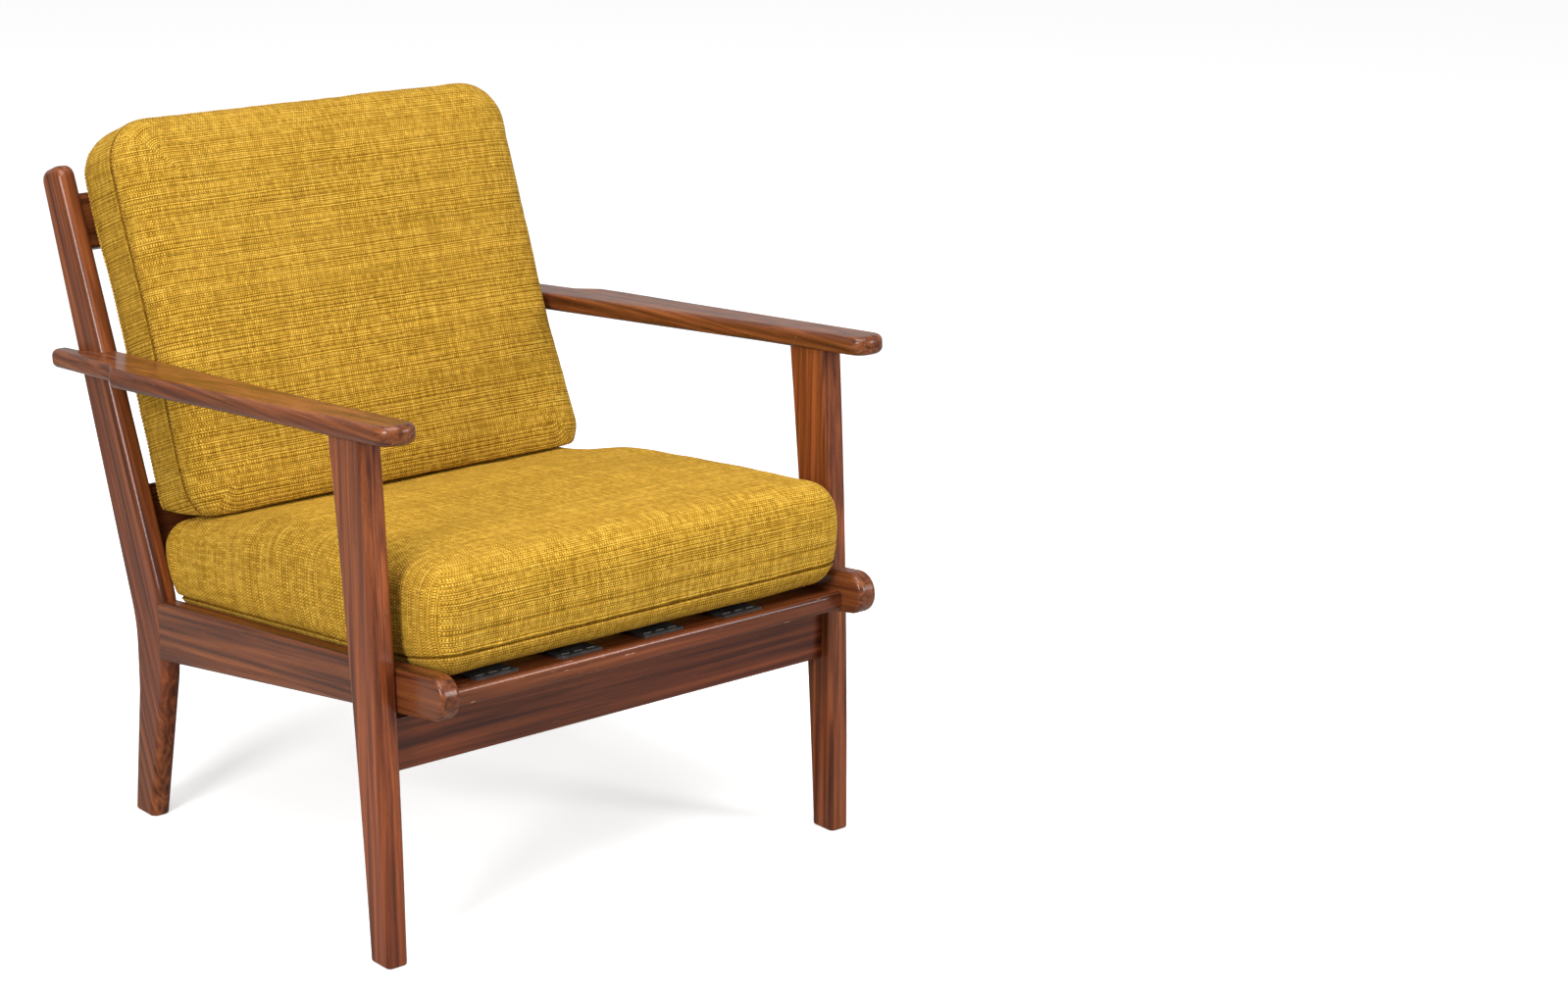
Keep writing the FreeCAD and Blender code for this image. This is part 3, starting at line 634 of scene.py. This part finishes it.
# back cushion: box cushion with a border between two seamed panels
rake_sin, rake_cos = math.sin(BACK_RAKE), math.cos(BACK_RAKE)
BACK_MIDDLE = -119.5                 # its middle, measured up the rake from the top rail
BACK_PLACE = basis((1, 0, 0), (0, rake_sin, rake_cos), (0, -rake_cos, rake_sin),
                   (0, 0.3545 + BACK_MIDDLE * MM * rake_sin,
                    0.702 + BACK_MIDDLE * MM * rake_cos))
BACK_PROFILE = [(84, 120), (54, 118.5), (28, 114), (12, 106), (4.5, 97), (1.5, 90), (5.5, 86.5),
                (0.8, 83), (0, 50), (1, 22), (4.5, 17), (2.5, 13), (10, 5.5), (30, 2.6), (60, 2.4)]
BACK_STEPS = [5, 5, 5, 4, 3, 3, 3, 5, 5, 3, 3, 3, 5, 4]
FRONT_SEAM_STEP = sum(BACK_STEPS[:6])
REAR_SEAM_STEP = sum(BACK_STEPS[:10])
BACK_CELLS = (112, 98)
BACK_HALF_X = 291
BACK_HALF_Y = 256
PRESS_GAP = 2.2                      # kept between the back's foot and the seat's face
BACK_IN_SEAT = SEAT_PLACE.inverted() @ BACK_PLACE
BACK_LIFTS_SEAT = BACK_IN_SEAT[2][1]          # rise over the seat for a step up the back


def back_shape(x, y, height):
    corner = min(abs(x) / BACK_HALF_X, abs(y) / BACK_HALF_Y) ** 2.5
    low_edge = smooth(-150, -245, y)
    lifted = height + 16 * (corner + low_edge) * (1 - height / 124) * smooth(13, 80, height)
    crown = (1 - (x / BACK_HALF_X) ** 2) * (1 - (y / BACK_HALF_Y) ** 2)
    lifted += 6 * crown * smooth(100, 119, height)
    slack = 2.5 * (1 - (y / BACK_HALF_Y) ** 2) * smooth(180, BACK_HALF_X, abs(x))
    tucked = 3.0 * (1 - smooth(12, 40, height)) * smooth(180, BACK_HALF_X, abs(x))
    broad = 2.5 * smooth(-40, -200, y) * smooth(180, BACK_HALF_X, abs(x)) * smooth(12, 60, height)
    outward = broad - slack - tucked
    x += (outward if x > 0 else -outward) + 2 * smooth(12, 60, height)
    # the foot of the cushion is pressed flat by the seat cushion it stands on
    spot = BACK_IN_SEAT @ Vector((x * MM, y * MM, lifted * MM))
    clear = spot.z / MM - seat_top(spot.x / MM, spot.y / MM) - PRESS_GAP
    if clear < 5:
        y += (5 * math.exp((clear - 5) / 5) - clear) / BACK_LIFTS_SEAT
    return x, y, lifted


back_cover, back_loops = cushion_mesh(
    "back_cushion_fabric", BACK_HALF_X, BACK_HALF_Y, 56, 60, BACK_PROFILE, BACK_STEPS, back_shape,
    BACK_PLACE, BACK_CELLS)
crease(back_cover, [back_loops[FRONT_SEAM_STEP], back_loops[REAR_SEAM_STEP]],
       8.1, 0.0013, 0.0007)


def paint_seam_shade(piece, cells, first_ring, count=3):
    """Give the rings of faces in a seam groove their darker cloth, a painted shade."""
    across, along = cells
    loop = 2 * (across + along)
    first = 2 * across * along + first_ring * loop
    for number in range(first, first + count * loop):
        piece.data.polygons[number].material_index = 1


for piece, node, cloth in ((seat_cover, "seat_cushion", SEAT_CLOTH_PAINTED_LIGHT),
                           (back_cover, "back_cushion", BACK_CLOTH)):
    piece.data.materials.append(cloth)
    piece.data.materials.append(SEAM_PAINTED_SHADE)
    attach(piece, node)
    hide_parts(f"{node}_cover", f"{node}_core")


# the seam grooves' faces get the darker cloth: painted shade, as the grooves give little shade of
# their own
paint_seam_shade(seat_cover, SEAT_CELLS, SEAT_SEAM_STEP - 1)
paint_seam_shade(back_cover, BACK_CELLS, FRONT_SEAM_STEP)
paint_seam_shade(back_cover, BACK_CELLS, REAR_SEAM_STEP - 2)


# ------------------------------------------------------------------ seam stitches
def make_stitch_tree():
    """A row of short stitches laid along a seam line."""
    tree = bpy.data.node_groups.new("stitch_row", "GeometryNodeTree")
    tree.is_modifier = True
    face = tree.interface
    face.new_socket(name="Seam", in_out="INPUT", socket_type="NodeSocketGeometry")
    for label, value in (("Spacing", 0.0046), ("Length", 0.0030), ("Thickness", 0.0011)):
        socket = face.new_socket(name=label, in_out="INPUT", socket_type="NodeSocketFloat")
        socket.default_value = value
    face.new_socket(name="Thread", in_out="INPUT", socket_type="NodeSocketMaterial")
    face.new_socket(name="Stitches", in_out="OUTPUT", socket_type="NodeSocketGeometry")
    nodes = tree.nodes
    links = tree.links
    start = nodes.new("NodeGroupInput")
    end = nodes.new("NodeGroupOutput")
    points = nodes.new("GeometryNodeCurveToPoints")
    points.mode = "LENGTH"
    bead = nodes.new("GeometryNodeMeshIcoSphere")
    bead.inputs["Radius"].default_value = 0.5
    bead.inputs["Subdivisions"].default_value = 2
    size = nodes.new("ShaderNodeCombineXYZ")
    shaped = nodes.new("GeometryNodeTransform")
    place = nodes.new("GeometryNodeInstanceOnPoints")
    solid = nodes.new("GeometryNodeRealizeInstances")
    paint = nodes.new("GeometryNodeSetMaterial")
    links.new(start.outputs["Seam"], points.inputs["Curve"])
    links.new(start.outputs["Spacing"], points.inputs["Length"])
    links.new(start.outputs["Thickness"], size.inputs[0])
    links.new(start.outputs["Thickness"], size.inputs[1])
    links.new(start.outputs["Length"], size.inputs[2])
    links.new(bead.outputs["Mesh"], shaped.inputs["Geometry"])
    links.new(size.outputs[0], shaped.inputs["Scale"])
    links.new(points.outputs["Points"], place.inputs["Points"])
    links.new(points.outputs["Rotation"], place.inputs["Rotation"])
    links.new(shaped.outputs["Geometry"], place.inputs["Instance"])
    links.new(place.outputs["Instances"], solid.inputs["Geometry"])
    links.new(solid.outputs["Geometry"], paint.inputs["Geometry"])
    links.new(start.outputs["Thread"], paint.inputs["Material"])
    links.new(paint.outputs["Geometry"], end.inputs[0])
    return tree


STITCH_TREE = make_stitch_tree()


def stitched(name, seam_points, body, **sizes):
    """Stitches along a closed line, as one plain mesh riding on body."""
    curve = bpy.data.curves.new(name + "_line", "CURVE")
    curve.dimensions = "3D"
    spline = curve.splines.new("POLY")
    spline.points.add(len(seam_points) - 1)
    for point, spot in zip(spline.points, seam_points):
        point.co = (*spot, 1)
    spline.use_cyclic_u = True
    guide = bpy.data.objects.new(name + "_line", curve)
    bpy.context.collection.objects.link(guide)
    modifier = guide.modifiers.new("stitches", "NODES")
    modifier.node_group = STITCH_TREE
    for socket in STITCH_TREE.interface.items_tree:
        if socket.in_out == "INPUT" and socket.name in sizes:
            modifier[socket.identifier] = sizes[socket.name]
        if socket.in_out == "INPUT" and socket.name == "Thread":
            modifier[socket.identifier] = THREAD
    depsgraph = bpy.context.evaluated_depsgraph_get()
    mesh = bpy.data.meshes.new_from_object(guide.evaluated_get(depsgraph))
    mesh.name = name
    bpy.data.objects.remove(guide)
    piece = bpy.data.objects.new(name, mesh)
    bpy.context.collection.objects.link(piece)
    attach(piece, body)
    return piece


STITCH_PROUD = 0.0003


def seam_line(piece, loop):
    """Points just proud of the cover along one of its loops."""
    verts = piece.data.vertices
    return [verts[i].co + verts[i].normal * STITCH_PROUD for i in loop]


STITCH_RINGS_OFF = 3                 # the stitches run beside the seam, this many rings away
stitched("seat_cushion_seam_stitches",
         seam_line(seat_cover, seat_loops[SEAT_SEAM_STEP + STITCH_RINGS_OFF]), "seat_cushion")
stitched("back_cushion_front_seam_stitches",
         seam_line(back_cover, back_loops[FRONT_SEAM_STEP - STITCH_RINGS_OFF]), "back_cushion")
stitched("back_cushion_rear_seam_stitches",
         seam_line(back_cover, back_loops[REAR_SEAM_STEP + STITCH_RINGS_OFF]), "back_cushion")


# ------------------------------------------------------------------ floor, light, camera
def make_floor():
    material, w, shader = new_material("pale_studio_floor")
    spot = w.put("ShaderNodeTexCoord").outputs["Object"]
    seen = w.put("ShaderNodeLightPath").outputs["Is Camera Ray"]
    mottle = w.noise(spot, 1.5, 3.0)
    pale = w.mix(mottle, (0.93, 0.93, 0.93, 1), (0.95, 0.95, 0.95, 1))
    w.feed(shader.inputs["Base Color"], w.mix(seen, (0.42, 0.41, 0.40, 1), pale))
    shader.inputs["Roughness"].default_value = 0.9
    shader.inputs["Specular IOR Level"].default_value = 0.1
    shader.inputs["Emission Color"].default_value = (1, 1, 1, 1)
    w.feed(shader.inputs["Emission Strength"], w.math("MULTIPLY", seen, 0.46))
    mesh = bpy.data.meshes.new("studio_floor")
    reach = 60
    mesh.from_pydata([(-reach, -reach, 0), (reach, -reach, 0), (reach, reach, 0),
                      (-reach, reach, 0)], [], [(0, 1, 2, 3)])
    mesh.materials.append(material)
    floor = bpy.data.objects.new("studio_floor", mesh)
    bpy.context.collection.objects.link(floor)


def soft_box(name, place, aim, size, power, tint=(1, 1, 1)):
    lamp = bpy.data.lights.new(name, "AREA")
    lamp.shape = "RECTANGLE"
    lamp.size, lamp.size_y = size
    lamp.energy = power
    lamp.color = tint
    stand = bpy.data.objects.new(name, lamp)
    stand.location = place
    stand.rotation_mode = "QUATERNION"
    stand.rotation_quaternion = (Vector(aim) - Vector(place)).to_track_quat("-Z", "Y")
    bpy.context.collection.objects.link(stand)


make_floor()
world = bpy.data.worlds.new("studio")
bpy.context.scene.world = world
world.use_nodes = True
world.node_tree.nodes["Background"].inputs["Color"].default_value = (1, 1, 1, 1)
world.node_tree.nodes["Background"].inputs["Strength"].default_value = 0.50
soft_box("overhead_box", (-0.6, -0.8, 3.4), (0, 0, 0.3), (2.6, 2.6), 105)
soft_box("left_box", (-3.4, -1.6, 2.0), (0, 0, 0.45), (1.0, 1.4), 95, (1.0, 0.985, 0.96))
soft_box("right_box", (2.4, -3.6, 1.8), (0, 0, 0.4), (0.9, 1.3), 74, (0.97, 0.985, 1.0))

CAMERA_TURN = math.radians(-40.673)
CAMERA_LIFT = math.radians(16.233)
CAMERA_ROLL = math.radians(0.778)
turn_sin, turn_cos = math.sin(CAMERA_TURN), math.cos(CAMERA_TURN)
lift_sin, lift_cos = math.sin(CAMERA_LIFT), math.cos(CAMERA_LIFT)
away = Vector((turn_sin * lift_cos, -turn_cos * lift_cos, lift_sin))
level = Vector((turn_cos, turn_sin, 0))
upward = level.cross(-away)
right = level * math.cos(CAMERA_ROLL) + upward * math.sin(CAMERA_ROLL)
upward = upward * math.cos(CAMERA_ROLL) - level * math.sin(CAMERA_ROLL)
camera_data = bpy.data.cameras.new("camera")
camera_data.sensor_width = 36
camera_data.lens = 75.04
camera = bpy.data.objects.new("camera", camera_data)
camera.matrix_world = basis(right, upward, away, (-2.2126, -3.1967, 1.5423))
bpy.context.collection.objects.link(camera)
bpy.context.scene.camera = camera
bpy.context.scene.view_settings.view_transform = "Standard"
